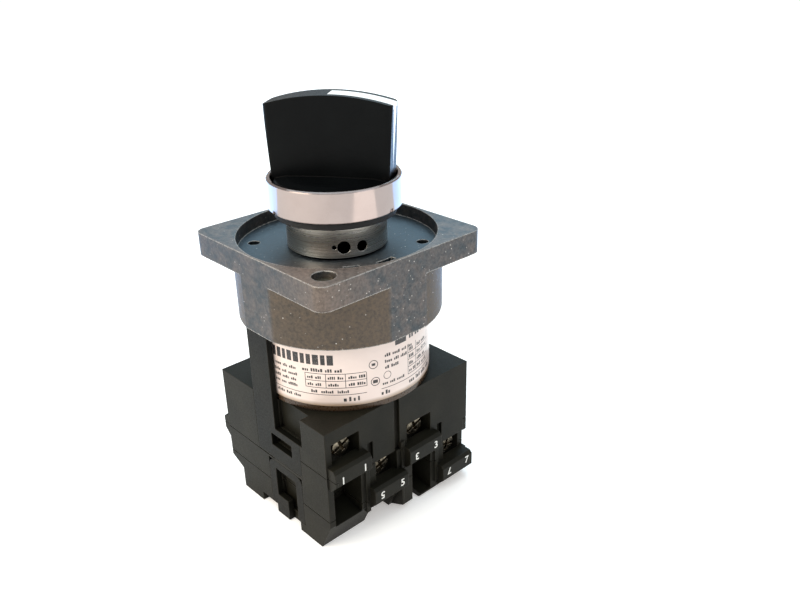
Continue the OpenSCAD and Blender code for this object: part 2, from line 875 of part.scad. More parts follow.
module cam_shaft() {
  square_low = level_z(3) - level_pitch / 2 - 0.2;
  square_top = block_h - roof_t - 0.4;
  color("#cfc8b4")
    union() {
      translate([0, 0, bearing_z + 0.2]) cylinder(r = journal_r, h = square_low - bearing_z);
      rotate(pointer_angle)
        translate([-shaft_sq / 2, -shaft_sq / 2, square_low])
          cube([shaft_sq, shaft_sq, square_top - square_low + 0.2]);
      translate([0, 0, square_top]) cylinder(r = shaft_r, h = tang_low - square_top);
      rotate(pointer_angle)
        translate([-shaft_sq / 2, -shaft_sq / 2, tang_low - 0.2])
          cube([shaft_sq, shaft_sq, tang_h]);
    }
}

// Drum with its detent

module drum_cover() {
  inner = drum_r - drum_wall;
  color("#2b2c2e")
    difference() {
      translate([0, 0, block_h]) cylinder(r = drum_r, h = drum_h);
      translate([0, 0, block_h - past]) cylinder(r = inner, h = drum_h - drum_wall + past);
      translate([0, 0, block_h]) cylinder(r = shaft_r + run_gap, h = drum_h + past);
    }
}

module rating_label() {
  h = drum_h - label_low - 0.2;
  color("#efebe4")
    rotate(label_start)
      translate([0, 0, block_h + label_low])
        rotate_extrude(angle = label_sweep)
          translate([drum_r, 0]) square([label_t, h]);
}

wheel_peak = detent_r + detent_depth;
roller_gap = 0.25;
roller_x = wheel_peak + roller_gap + roller_r;
channel_y = roller_r + 2 * roller_gap;

module detent_frame() {
  base_t = 1.6;
  inner = drum_r - drum_wall - slide_gap;
  wall_t = 1.5;
  color("#35363a")
    intersection() {
      difference() {
        union() {
          translate([0, 0, block_h]) cylinder(r = inner, h = base_t);
          for (sy = [-1, 1])
            translate([-inner, sy * (channel_y + wall_t / 2) - wall_t / 2, block_h])
              cube([2 * inner, wall_t, wheel_z - block_h + detent_h]);
        }
        translate([0, 0, block_h - past]) cylinder(r = shaft_r + run_gap, h = big);
        translate([0, 0, block_h + base_t]) cylinder(r = wheel_peak + 0.3, h = big);
      }
      cylinder(r = inner, h = big);
    }
}

module detent_wheel() {
  color("#d8d2c2")
    translate([0, 0, wheel_z])
      difference() {
        linear_extrude(height = detent_h)
          polygon([for (a = [0:4:356]) (detent_r - detent_depth * cos(6 * a)) * [cos(a), sin(a)]]);
        translate([0, 0, -past]) cylinder(r = shaft_r + 0.01, h = detent_h + 2 * past);
      }
}

module detent_rollers() {
  color("#c4c4c0")
    for (sx = [-1, 1])
      translate([sx * roller_x, 0, wheel_z]) cylinder(r = roller_r, h = detent_h);
}

slide_x = roller_x + roller_r + slide_gap;
slide_t = 1;

module detent_slides() {
  w = 2 * (channel_y - slide_gap);
  color("#dcd6c6")
    for (side = [0, 1])
      out_of(side) translate([slide_x, -w / 2, wheel_z]) cube([slide_t, w, detent_h]);
}

module detent_springs() {
  r = 1.4;
  wire = 0.25;
  seat = slide_x + slide_t + 0.1;
  stop = drum_r - drum_wall - 0.3;
  color("#b5b5b0")
    for (side = [0, 1])
      out_of(side)
        translate([seat, 0, wheel_z + detent_h / 2])
          rotate([0, 90, 0]) coil(stop - seat, r, wire, 3);
}

// Adaptor casting

module rounded_square(w, r) {
  half = w / 2 - r;
  union() {
    square([w, 2 * half], center = true);
    square([2 * half, w], center = true);
    for (sx = [-1, 1], sy = [-1, 1]) translate([sx * half, sy * half]) circle(r = r);
  }
}

// The curved slots: start angle, end angle and how much nearer to the barrel each one lies
arc_slots = [[-35, -22, 0.7], [-7, 9, 0]];

module arc_slot(slot) {
  rotate(slot[0])
    rotate_extrude(angle = slot[1] - slot[0])
      translate([arc_r - slot[2], 0]) square([arc_w, past + 2]);
}

module adaptor_casting() {
  core_h = z_floor - floor_t - z_drum;
  color("#8c9094")
    difference() {
      union() {
        translate([0, 0, z_plate]) linear_extrude(height = plate_t) rounded_square(plate_w, corner_r);
        intersection() {
          translate([0, 0, z_drum]) cylinder(r = boss_r, h = boss_h + 0.5);
          translate([-plate_w / 2, -plate_w / 2, z_drum]) cube([plate_w, plate_w, boss_h + 0.5]);
        }
      }
      translate([0, 0, z_floor]) cylinder(r = recess_r, h = recess_d + past);
      translate([0, 0, z_drum - past]) cylinder(r = boss_core_r, h = core_h + past);
      translate([0, 0, z_drum]) cylinder(r = spindle_r + 0.6, h = big);
      for (sx = [-1, 1], sy = [-1, 1])
        translate([sx * floor_hole_xy, sy * floor_hole_xy, z_floor - floor_t - past])
          cylinder(r = floor_hole_r, h = floor_t + 2 * past);
      for (s = [-1, 1])
        translate([s * pad_hole_xy, -s * pad_hole_xy, z_plate - past])
          cylinder(r = pad_screw_r + run_gap, h = plate_t + 2 * past);
      for (slot = arc_slots) translate([0, 0, z_floor - 1]) arc_slot(slot);
    }
}

module clamp_screws() {
  slot = 0.7;
  color("#8f8a80")
    for (s = [-1, 1])
      translate([s * pad_hole_xy, -s * pad_hole_xy, z_plate - 0.5])
        rotate(45)
          difference() {
            cylinder(r = pad_screw_r, h = plate_t + 0.5 - pad_screw_sink);
            translate([-pad_screw_r, -slot / 2, plate_t - pad_screw_sink - slot])
              cube([2 * pad_screw_r, slot, 3 * slot]);
          }
}

// Head: barrel, gasket, bezel, spindle and handle

// The holes around the barrel: angle, radius, depth and height above the recess
barrel_holes = [[-31.8, 1.4, 4.4, 2.9], [-10.8, 1.2, 4.4, 2.7], [-42.5, 0.5, 1, 3]];

module head_barrel() {
  foot_z = z_floor + 0.1;
  color("#9b917f")
    difference() {
      translate([0, 0, foot_z]) cylinder(r = barrel_r, h = barrel_h + 0.9);
      cylinder(r = spindle_r + run_gap, h = 2 * big);
      for (hole = barrel_holes)
        rotate(hole[0])
          translate([barrel_r - hole[2], 0, z_floor + hole[3]])
            rotate([0, 90, 0]) cylinder(r = hole[1], h = hole[2] + past);
      translate([0, 0, foot_z - past])
        difference() {
          cylinder(r = barrel_r + past, h = barrel_groove + past);
          cylinder(r = barrel_r - barrel_groove, h = barrel_groove + 2 * past);
        }
    }
}

module bezel_gasket() {
  color("#17181a")
    difference() {
      translate([0, 0, z_bezel - gasket_t]) cylinder(r = bezel_r - gasket_in, h = gasket_t);
      cylinder(r = barrel_r + run_gap, h = 2 * big);
    }
}

bezel_floor = 1;
bezel_edge = 0.3;

module bezel_ring() {
  notch = 1.1;
  notch_h = 0.9;
  inner = bezel_r - bezel_wall;
  color("#d5d8dc")
    difference() {
      translate([0, 0, z_bezel])
        rotate_extrude()
          polygon([
            [barrel_r + touch_gap, 0], [bezel_r - bezel_edge, 0], [bezel_r, bezel_edge],
            [bezel_r, bezel_h - bezel_edge], [bezel_r - bezel_edge, bezel_h],
            [inner + bezel_edge, bezel_h], [inner, bezel_h - 2 * bezel_edge],
            [inner, bezel_floor], [barrel_r + touch_gap, bezel_floor]
          ]);
      for (a = [-100.2, -10.2 + 24.6, 79.8, 169.8])
        rotate(a)
          translate([bezel_r - notch / 2, -notch / 2, z_bezel - past]) cube([notch, notch, past + notch_h]);
    }
}

spindle_sq = 5.6;
spindle_top = z_rim + 6;

module head_spindle() {
  low = tang_low + 1;
  color("#77736a")
    difference() {
      union() {
        translate([0, 0, low]) cylinder(r = spindle_r, h = z_bezel + bezel_floor + 0.2 - low);
        rotate(pointer_angle)
          translate([-spindle_sq / 2, -spindle_sq / 2, z_bezel])
            cube([spindle_sq, spindle_sq, spindle_top - z_bezel]);
      }
      rotate(pointer_angle)
        translate([-shaft_sq / 2 - run_gap, -shaft_sq / 2 - run_gap, low - past])
          cube([shaft_sq + 2 * run_gap, shaft_sq + 2 * run_gap, tang_h + past]);
    }
}

disc_r = bezel_r - bezel_wall - handle_gap;
disc_edge = 0.5;
disc_slope = 3;
z_disc = z_bezel + bezel_floor + 0.4;
z_crown = z_rim + blade_h;
z_end = z_crown - blade_crown;
crown_r = (pow(blade_l / 2, 2) + pow(blade_crown, 2)) / (2 * blade_crown);

module blade_outline() {
  foot_z = z_rim - 1.2;
  intersection() {
    polygon([
      [-blade_foot_l / 2, foot_z], [blade_foot_l / 2, foot_z],
      [blade_l / 2, z_end], [blade_l / 2, z_crown + past],
      [-blade_l / 2, z_crown + past], [-blade_l / 2, z_end]
    ]);
    translate([0, z_crown - crown_r]) circle(r = crown_r, $fn = 4 * $fn);
  }
}

// What is left of the blade's side view under the strip
module inlay_cut_outline() {
  translate([-pointer_t, -pointer_t]) blade_outline();
}

module upright(width) {
  rotate([90, 0, 0]) linear_extrude(height = width, center = true) children();
}

module blade_plan() {
  end_r = 1.2;
  half = blade_l / 2 - end_r;
  wide = blade_t / 2 - end_r;
  square([2 * half, blade_t], center = true);
  square([blade_l, 2 * wide], center = true);
  for (sx = [-1, 1], sy = [-1, 1]) translate([sx * half, sy * wide]) circle(r = end_r, $fn = small_fn);
}

module blade() {
  intersection() {
    upright(2 * blade_t) blade_outline();
    translate([0, 0, z_rim - 2]) linear_extrude(height = 2 * blade_h) blade_plan();
  }
}

module pointer_strip() {
  tip_z = z_rim + 1;
  shoulder_z = z_end - pointer_t - 0.2;
  half = pointer_end_w / 2;
  difference() {
    intersection() {
      blade();
      union() {
        translate([0, -pointer_w / 2, shoulder_z]) cube([blade_l, pointer_w, blade_h]);
        rotate([90, 0, 90])
          linear_extrude(height = blade_l)
            polygon([[-half, shoulder_z + 0.1], [-half, shoulder_z - 1], [0, tip_z],
              [half, shoulder_z - 1], [half, shoulder_z + 0.1]]);
      }
    }
    upright(2 * blade_t) inlay_cut_outline();
  }
}

module handle() {
  socket = spindle_sq + 2 * run_gap;
  disc_h = z_rim - z_disc;
  color("#1b1c1e")
    rotate(pointer_angle)
      difference() {
        union() {
          translate([0, 0, z_disc])
            rotate_extrude()
              polygon([
                [0, 0], [disc_r, 0], [disc_r, disc_h - 1.2], [disc_r - disc_edge, disc_h - 0.7],
                [disc_r - disc_slope, disc_h - 0.2], [0, disc_h]
              ]);
          blade();
        }
        pointer_strip();
        translate([-socket / 2, -socket / 2, z_disc - past])
          cube([socket, socket, spindle_top + 0.2 - z_disc + past]);
      }
}

module pointer_inlay() {
  color("#f2f2ef") rotate(pointer_angle) pointer_strip();
}

handle();
pointer_inlay();
bezel_ring();
bezel_gasket();
head_barrel();
head_spindle();
adaptor_casting();
clamp_screws();
drum_cover();
rating_label();
detent_frame();
detent_wheel();
detent_rollers();
detent_slides();
detent_springs();
cam_shaft();
cam_1();
cam_2();
cam_3();
cam_4();
upper_body();
lower_body();
rear_cover();
latch_arm_front();
latch_arm_back();
rear_clip_front();
rear_clip_back();
plunger_1();
plunger_2();
plunger_3();
plunger_4();
bridge_1();
bridge_2();
bridge_3();
bridge_4();
spring_1();
spring_2();
spring_3();
spring_4();
terminal_1();
terminal_2();
terminal_3();
terminal_4();
terminal_5();
terminal_6();
terminal_7();
terminal_8();
wire_clamps();
terminal_screws();
tie_screws();
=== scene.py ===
"""Looks of a rotary cam switch: a bladed handle and chrome bezel over a die-cast adaptor, a labelled
drum and a block of staggered screw terminals. Everything is in metres, in the frame of the solids."""
import math
import random

import bmesh
import bpy
from mathutils import Matrix, Vector


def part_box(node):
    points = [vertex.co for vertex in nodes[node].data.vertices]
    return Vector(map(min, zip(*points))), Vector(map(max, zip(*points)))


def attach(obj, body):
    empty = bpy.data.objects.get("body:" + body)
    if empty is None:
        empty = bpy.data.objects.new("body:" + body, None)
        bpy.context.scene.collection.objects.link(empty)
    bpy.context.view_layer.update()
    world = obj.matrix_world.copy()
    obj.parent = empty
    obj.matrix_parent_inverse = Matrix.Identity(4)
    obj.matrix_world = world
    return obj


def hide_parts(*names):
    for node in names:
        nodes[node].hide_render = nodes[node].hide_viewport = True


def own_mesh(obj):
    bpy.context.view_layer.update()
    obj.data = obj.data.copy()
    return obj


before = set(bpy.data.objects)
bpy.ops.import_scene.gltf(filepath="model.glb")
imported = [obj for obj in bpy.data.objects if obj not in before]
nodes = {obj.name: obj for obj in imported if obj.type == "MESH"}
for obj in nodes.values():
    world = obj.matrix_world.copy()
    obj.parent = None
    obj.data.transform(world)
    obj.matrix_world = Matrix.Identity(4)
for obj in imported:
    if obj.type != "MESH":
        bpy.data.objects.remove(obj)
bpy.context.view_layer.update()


# Contact block: three moulded shells, one on top of the other, of glass filled thermoset.
# It is pressed hot in a polished tool, so its faces are even and dull and its edges slightly
# soft. Handling has rubbed the edges paler, and its seams are darkened with painted shade.

mm = 0.001


def linear(code):
    """Turns a hex sRGB colour into linear RGBA."""
    channels = [int(code[i:i + 2], 16) / 255 for i in (1, 3, 5)]
    return [c / 12.92 if c <= 0.04045 else ((c + 0.055) / 1.055) ** 2.4 for c in channels] + [1]


def add(tree, kind, sockets=None, **settings):
    """Adds a node. A socket's value is linked if it is another node's output, and set if not."""
    node = tree.nodes.new(kind)
    for name, value in settings.items():
        setattr(node, name, value)
    for name, value in (sockets or {}).items():
        if isinstance(value, bpy.types.NodeSocket):
            tree.links.new(value, node.inputs[name])
        else:
            node.inputs[name].default_value = value
    return node


def begin(name, **fixed):
    """Starts a material and sets what is the same all over it: tree, shader and place on the piece."""
    material = bpy.data.materials.new(name)
    material.use_nodes = True
    tree = material.node_tree
    shader = tree.nodes["Principled BSDF"]
    for socket, value in fixed.items():
        shader.inputs[socket.replace("_", " ")].default_value = value
    place = add(tree, "ShaderNodeTexCoord").outputs["Object"]
    return material, tree, shader, place


def worn_edges(tree, radius):
    """The normal of edges rounded to a radius, and how much of such an edge a point is, 0 to 1."""
    soft = add(tree, "ShaderNodeBevel", {"Radius": radius}, samples=4).outputs["Normal"]
    flat = add(tree, "ShaderNodeNewGeometry").outputs["Normal"]
    turn = add(tree, "ShaderNodeVectorMath", {0: soft, 1: flat}, operation="DOT_PRODUCT")
    worn = add(tree, "ShaderNodeMapRange",
               {"Value": turn.outputs["Value"], "From Min": 0.995, "From Max": 0.82})
    return soft, worn.outputs["Result"]


def moulded(name, main, pale, rubbed, grain, rough, radius, depth, wear=0.6, **fixed):
    """A moulded plastic: two cloudy tones, rubbed edges, seams darkened with painted shade and a fine
    grain.

    The real grain is finer than 0.1 mm, and is drawn a few times coarser so that it shows.
    """
    cloud_wide, shade_reach = 9 * mm, 0.9 * mm
    duller, glossier = rough + 0.09, rough - 0.07
    material, tree, shader, place = begin(name, **fixed)
    soft, worn = worn_edges(tree, radius)
    cloud = add(tree, "ShaderNodeTexNoise", {"Vector": place, "Scale": 1 / cloud_wide, "Detail": 5})
    spread = add(tree, "ShaderNodeMapRange",
                 {"Value": cloud.outputs["Fac"], "From Min": 0.35, "From Max": 0.68})
    fine = add(tree, "ShaderNodeTexNoise", {"Vector": place, "Scale": 1 / grain, "Detail": 3})
    body = add(tree, "ShaderNodeMix",
               {0: spread.outputs["Result"], 6: linear(main), 7: linear(pale)}, data_type="RGBA")
    chips = add(tree, "ShaderNodeMath", {0: worn, 1: fine.outputs["Fac"]}, operation="MULTIPLY")
    amount = add(tree, "ShaderNodeMath", {0: chips.outputs["Value"], 1: wear}, operation="MULTIPLY")
    tone = add(tree, "ShaderNodeMix",
               {0: amount.outputs["Value"], 6: body.outputs[2], 7: linear(rubbed)}, data_type="RGBA")
    # Seams, creases and corners are darkened by ambient occlusion: painted shade.
    open_to_air = add(tree, "ShaderNodeAmbientOcclusion", {"Distance": shade_reach}, samples=6)
    seam_shade = add(tree, "ShaderNodeMapRange", {"Value": open_to_air.outputs["AO"], "From Min": 0.35,
                "From Max": 0.8, "To Min": 0.12, "To Max": 1.0})
    seam_shaded = add(tree, "ShaderNodeVectorMath", {0: tone.outputs[2], 1: seam_shade.outputs["Result"]},
                 operation="MULTIPLY")
    tree.links.new(seam_shaded.outputs["Vector"], shader.inputs["Base Color"])
    dull = add(tree, "ShaderNodeMapRange", {"Value": fine.outputs["Fac"], "From Min": 0.3,
               "From Max": 0.7, "To Min": glossier, "To Max": duller})
    tree.links.new(dull.outputs["Result"], shader.inputs["Roughness"])
    bump = add(tree, "ShaderNodeBump", {"Height": fine.outputs["Fac"], "Strength": 0.35,
               "Distance": depth, "Normal": soft})
    tree.links.new(bump.outputs["Normal"], shader.inputs["Normal"])
    return material


def dress(names, material):
    """Gives solids their finish in every material slot."""
    for name in names:
        for slot in nodes[name].material_slots:
            slot.material = material


block_plastic = moulded("glass_filled_thermoset", "#16150f", "#201e17", "#5a564b", 0.22 * mm,
                        0.5, 0.22 * mm, 0.03 * mm, Specular_IOR_Level=0.12)
dress(["upper_body", "lower_body", "rear_cover"], block_plastic)


# Latch arms and rear clips: sprung straps of glass filled nylon. The arms hook the block to the
# adaptor. They are moulded apart from it, a shade darker, and rubbed pale where they snap.

latch_plastic = moulded("glass_filled_nylon", "#0b0b08", "#14130e", "#5a564a", 0.3 * mm,
                        0.46, 0.2 * mm, 0.025 * mm, wear=0.7, Specular_IOR_Level=0.1)
dress(["latch_arm_front", "latch_arm_back", "rear_clip_front", "rear_clip_back"], latch_plastic)


# Works inside the block: cams, shaft, plungers and detent are self coloured acetal, waxy and
# pale. Springs are coiled from drawn steel wire, and rollers are ground steel. Springs 1 and 4
# are squeezed against their seats as the handle turns; here each is copied as a coil that stays
# still with the housing.

scene = bpy.context.scene
acetal = moulded("natural_acetal", "#cfc7b0", "#d9d2bf", "#e6e1d3", 0.4 * mm,
                 0.36, 0.15 * mm, 0.01 * mm, wear=0.3, IOR=1.48)
dress(["detent_wheel", "detent_slides", "cam_shaft"] + ["cam_%d" % i for i in range(1, 5)], acetal)
dress(["plunger_%d" % i for i in range(1, 5)], acetal)


def bare(name, main, other, rough, scale, stretch, radius, depth):
    """A bare or plated metal: two tones and a roughness that follow its tool marks or grain.

    Real tool marks are about 0.05 mm apart, and are drawn coarser so that they show.
    """
    material, tree, shader, place = begin(name, Metallic=1.0)
    soft = add(tree, "ShaderNodeBevel", {"Radius": radius}, samples=4).outputs["Normal"]
    drawn = add(tree, "ShaderNodeMapping", {"Vector": place, "Scale": stretch})
    marks = add(tree, "ShaderNodeTexNoise",
                {"Vector": drawn.outputs["Vector"], "Scale": 1 / scale, "Detail": 4})
    level = add(tree, "ShaderNodeMapRange",
                {"Value": marks.outputs["Fac"], "From Min": 0.35, "From Max": 0.65})
    body = add(tree, "ShaderNodeMix",
               {0: level.outputs["Result"], 6: linear(main), 7: linear(other)}, data_type="RGBA")
    tree.links.new(body.outputs[2], shader.inputs["Base Color"])
    dull = add(tree, "ShaderNodeMapRange", {"Value": marks.outputs["Fac"], "From Min": 0.3,
               "From Max": 0.7, "To Min": rough * 0.75, "To Max": rough * 1.3})
    tree.links.new(dull.outputs["Result"], shader.inputs["Roughness"])
    bump = add(tree, "ShaderNodeBump", {"Height": marks.outputs["Fac"], "Strength": 0.4,
               "Distance": depth, "Normal": soft})
    tree.links.new(bump.outputs["Normal"], shader.inputs["Normal"])
    return material


def piece_of(name, shape, material):
    """Makes an object of a bmesh, with one material."""
    mesh = bpy.data.meshes.new(name)
    shape.to_mesh(mesh)
    shape.free()
    mesh.materials.append(material)
    made = bpy.data.objects.new(name, mesh)
    scene.collection.objects.link(made)
    return made


spring_steel = bare("drawn_spring_steel", "#b9b8b4", "#8d8b86", 0.28, 0.3 * mm, (1, 1, 1),
                    0.05 * mm, 0.01 * mm)
dress(["spring_2", "spring_3", "detent_rollers", "detent_springs"], spring_steel)

weld = 0.001 * mm
for name, joint, side in (("spring_1", "contact_1_slide", -1), ("spring_4", "contact_4_slide", 1)):
    coil = bmesh.new()
    coil.from_mesh(nodes[name].data)
    bmesh.ops.remove_doubles(coil, verts=coil.verts[:], dist=weld)
    reaches = [abs(v.co.y) for v in coil.verts]
    long = max(reaches) - min(reaches)
    squeezed = piece_of(name + "_coil", coil, spring_steel)
    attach(squeezed, "housing")
    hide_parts(name)
    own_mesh(squeezed)


# Contacts: brass terminals and copper bridges, punched from rolled strip that has left its
# faint lines on them. Brass that has stood in air for years is a dull gold.

strip_brass = bare("rolled_brass_strip", "#b89a5e", "#8f7644", 0.3, 0.5 * mm, (1, 1, 6),
                   0.1 * mm, 0.01 * mm)
dress(["terminal_%d" % i for i in range(1, 9)], strip_brass)
strip_copper = bare("rolled_copper_strip", "#c08a66", "#96603f", 0.3, 0.5 * mm, (1, 1, 6),
                    0.1 * mm, 0.01 * mm)
dress(["bridge_%d" % i for i in range(1, 5)], strip_copper)


# Terminal screws, clamps and tie screws: steel, cold headed and nickel plated, with a warm
# gleam and dull spots from the driver. Each terminal screw has a rolled thread and a slot with
# a cross, and stops at its own angle.

nickel_steel = bare("nickel_plated_steel", "#8d8372", "#403b32", 0.2, 0.8 * mm, (1, 1, 1),
                    0.12 * mm, 0.015 * mm)
dress(["wire_clamps", "tie_screws"], nickel_steel)

block_wide = 43.4
bay = block_wide / 4
head_r, head_h = 2.5, 1.8
crown_r, crown_h = 2.2, 0.35
thread_r, thread_pitch, thread_deep = 1.75, 0.7, 0.2
core_r = thread_r - thread_deep
point_r, point_h = 1.25, 0.3
slot_deep, slot_wide, cross_long = 0.9, 0.7, 3.0
edge_break = 0.07 * mm
stands = {}
for corner in nodes["terminal_screws"].data.vertices:
    seat = (1 if corner.co.x > 0 else -1, round(corner.co.y / mm / bay + 1.5))
    stands.setdefault(seat, []).append(corner.co)
reaches = [abs(c.x) / mm for c in stands[1, 0]]
shank_h = max(reaches) - min(reaches) - head_h
tip = -head_h - shank_h


def settled(made):
    """Turns an object's modifiers into its mesh."""
    graph = bpy.context.evaluated_depsgraph_get()
    mesh = bpy.data.meshes.new_from_object(made.evaluated_get(graph))
    made.modifiers.clear()
    made.data = mesh
    return made


half = [(0, 0), (crown_r, 0), (head_r, -crown_h), (head_r, -head_h), (core_r, -head_h),
        (core_r, tip + point_h), (point_r, tip), (0, tip)]
lathe = bmesh.new()
line = [lathe.verts.new((r * mm, 0, z * mm)) for r, z in half]
for a, b in zip(line, line[1:]):
    lathe.edges.new((a, b))
bmesh.ops.spin(lathe, geom=lathe.verts[:] + lathe.edges[:], cent=(0, 0, 0), axis=(0, 0, 1),
               angle=2 * math.pi, steps=36, use_merge=True)
bmesh.ops.remove_doubles(lathe, verts=lathe.verts[:], dist=weld)
bmesh.ops.recalc_face_normals(lathe, faces=lathe.faces[:])
blank = piece_of("screw_blank", lathe, nickel_steel)
for wide, long in ((slot_wide, 3 * head_r), (cross_long, slot_wide)):
    punch = bmesh.new()
    bmesh.ops.create_cube(punch, size=1)
    bmesh.ops.scale(punch, verts=punch.verts[:], vec=(wide * mm, long * mm, 2 * slot_deep * mm))
    tool = piece_of("driver_slot", punch, nickel_steel)
    cut = blank.modifiers.new("cut", "BOOLEAN")
    cut.object = tool
    cut.operation = "DIFFERENCE"
    settled(blank)
    bpy.data.objects.remove(tool)
rim = blank.modifiers.new("rim", "BEVEL")
rim.width = edge_break
rim.segments = 2
rim.limit_method = "ANGLE"
settled(blank)

screws = bpy.data.node_groups.new("screws_on_seats", "GeometryNodeTree")
for name, kind in (("Seats", "Geometry"), ("Blank", "Object"), ("Thread Radius", "Float"),
                   ("Thread Pitch", "Float"), ("Thread Depth", "Float"), ("Thread Length", "Float"),
                   ("Head Height", "Float"), ("Most Turn", "Float"), ("Seed", "Int"),
                   ("Finish", "Material")):
    screws.interface.new_socket(name, in_out="INPUT", socket_type="NodeSocket" + kind)
screws.interface.new_socket("Screws", in_out="OUTPUT", socket_type="NodeSocketGeometry")
given = add(screws, "NodeGroupInput").outputs
inside = add(screws, "ShaderNodeMath", {0: given["Thread Radius"], 1: given["Thread Depth"]},
             operation="SUBTRACT").outputs[0]
windings = add(screws, "ShaderNodeMath", {0: given["Thread Length"], 1: given["Thread Pitch"]},
               operation="DIVIDE").outputs[0]
helix = add(screws, "GeometryNodeCurveSpiral", {"Resolution": 20, "Rotations": windings,
            "Start Radius": inside, "End Radius": inside, "Height": given["Thread Length"]})
crest = add(screws, "GeometryNodeCurvePrimitiveCircle",
            {"Resolution": 4, "Radius": given["Thread Depth"]})
thread = add(screws, "GeometryNodeCurveToMesh", {"Curve": helix.outputs[0],
             "Profile Curve": crest.outputs["Curve"], "Fill Caps": True})
bottom = add(screws, "ShaderNodeMath", {0: given["Head Height"], 1: given["Thread Length"]},
             operation="ADD").outputs[0]
drop = add(screws, "ShaderNodeMath", {0: bottom, 1: -1.0}, operation="MULTIPLY").outputs[0]
sunk = add(screws, "ShaderNodeCombineXYZ", {"Z": drop}).outputs[0]
rolled = add(screws, "GeometryNodeTransform", {"Geometry": thread.outputs[0], "Translation": sunk})
headed = add(screws, "GeometryNodeObjectInfo", {"Object": given["Blank"]})
whole = add(screws, "GeometryNodeJoinGeometry")
for part in (headed.outputs["Geometry"], rolled.outputs[0]):
    screws.links.new(part, whole.inputs[0])
outward = add(screws, "GeometryNodeTransform", {"Geometry": whole.outputs[0],
              "Rotation": (0, math.pi / 2, 0)})
least = add(screws, "ShaderNodeMath", {0: given["Most Turn"], 1: -1.0}, operation="MULTIPLY").outputs[0]
stop = add(screws, "FunctionNodeRandomValue", {2: least, 3: given["Most Turn"],
           "Seed": given["Seed"]}, data_type="FLOAT")
facing = add(screws, "GeometryNodeInputNamedAttribute", {"Name": "facing"}, data_type="FLOAT")
turned_to = add(screws, "ShaderNodeCombineXYZ", {"X": stop.outputs[1], "Z": facing.outputs[0]})
placed = add(screws, "GeometryNodeInstanceOnPoints", {"Points": given["Seats"],
             "Instance": outward.outputs[0], "Rotation": turned_to.outputs[0]})
real = add(screws, "GeometryNodeRealizeInstances", {"Geometry": placed.outputs[0]})
finished = add(screws, "GeometryNodeSetMaterial", {"Geometry": real.outputs[0],
               "Material": given["Finish"]})
add(screws, "NodeGroupOutput", {"Screws": finished.outputs[0]})

seats = bmesh.new()
for (side, _), corners in stands.items():
    lows, highs = ([end(c[axis] for c in corners) for axis in range(3)] for end in (min, max))
    face = highs[0] if side > 0 else lows[0]
    seats.verts.new((face, (lows[1] + highs[1]) / 2, (lows[2] + highs[2]) / 2))
threaded_screws = piece_of("threaded_terminal_screws", seats, nickel_steel)
facings = threaded_screws.data.attributes.new("facing", "FLOAT", "POINT")
for facing_of, (side, _) in zip(facings.data, stands):
    facing_of.value = 0 if side > 0 else math.pi
grown = threaded_screws.modifiers.new("screws", "NODES")
grown.node_group = screws
most_turn = 0.5
settings = {"Blank": blank, "Thread Radius": thread_r * mm, "Thread Pitch": thread_pitch * mm,
            "Thread Depth": thread_deep * mm, "Thread Length": shank_h * mm,
            "Head Height": head_h * mm, "Most Turn": most_turn, "Seed": 3, "Finish": nickel_steel}
for socket in screws.interface.items_tree:
    if socket.name in settings:
        grown[socket.identifier] = settings[socket.name]
settled(threaded_screws)
bpy.data.objects.remove(blank)
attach(threaded_screws, "housing")
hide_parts("terminal_screws")


# Drum: a dark polycarbonate can, moulded in one, that holds the detent between block and
# adaptor. Years of oil have turned its bare edge below the label a dark brown.

drum_plastic = moulded("moulded_dark_polycarbonate", "#3a2b1f", "#493828", "#66533f",
                       0.5 * mm, 0.3, 0.2 * mm, 0.01 * mm, Specular_IOR_Level=0.35)
dress(["drum_cover", "detent_frame"], drum_plastic)


# Rating label: a white polyester sticker wrapped round the drum, faintly warm, with a glossy
# laminate over it that ripples a little where it was pressed on by hand. Its glue has crept out
# and browned the lower edge.

ripple_wide, ripple_deep = 5 * mm, 0.12 * mm
glue_high, glue_foot = 34.3 * mm, 33.4 * mm
glue_ragged = 0.5 * mm
label_paper, tree, shader, place = begin("laminated_polyester_label", IOR=1.5, Coat_Weight=0.6,
                                         Coat_Roughness=0.12, Roughness=0.42)
ripple = add(tree, "ShaderNodeTexNoise", {"Vector": place, "Scale": 1 / ripple_wide, "Detail": 2})
aged = add(tree, "ShaderNodeMix", {0: ripple.outputs["Fac"], 6: linear("#e0cec5"),
           7: linear("#d5c3bb")}, data_type="RGBA")
height = add(tree, "ShaderNodeSeparateXYZ", {"Vector": place}).outputs["Z"]
ragged = add(tree, "ShaderNodeMath", {0: ripple.outputs["Fac"], 1: glue_ragged, 2: height},
             operation="MULTIPLY_ADD")
glue = add(tree, "ShaderNodeMapRange", {"Value": ragged.outputs["Value"], "From Min": glue_high,
           "From Max": glue_foot, "To Max": 0.85})
browned = add(tree, "ShaderNodeMix", {0: glue.outputs["Result"], 6: aged.outputs[2],
              7: linear("#8d7357")}, data_type="RGBA")
tree.links.new(browned.outputs[2], shader.inputs["Base Color"])
pressed = add(tree, "ShaderNodeBump", {"Height": ripple.outputs["Fac"], "Strength": 0.25,
              "Distance": ripple_deep})
tree.links.new(pressed.outputs["Normal"], shader.inputs["Normal"])
dress(["rating_label"], label_paper)


# Print on the label: thermal transfer print of plain blocks, rules and rings that stands for
# the rating text. It is one mesh a hair above the label, and it says nothing.

ink_patch = 0.25 * mm
label_ink, tree, shader, place = begin("thermal_print_black", IOR=1.5, Roughness=0.4)
patchy = add(tree, "ShaderNodeTexNoise", {"Vector": place, "Scale": 1 / ink_patch, "Detail": 2})
faded = add(tree, "ShaderNodeMapRange", {"Value": patchy.outputs["Fac"], "From Min": 0.55,
            "From Max": 0.8})
ink = add(tree, "ShaderNodeMix", {0: faded.outputs["Result"], 6: linear("#231f20"),
          7: linear("#7a716d")}, data_type="RGBA")
tree.links.new(ink.outputs[2], shader.inputs["Base Color"])

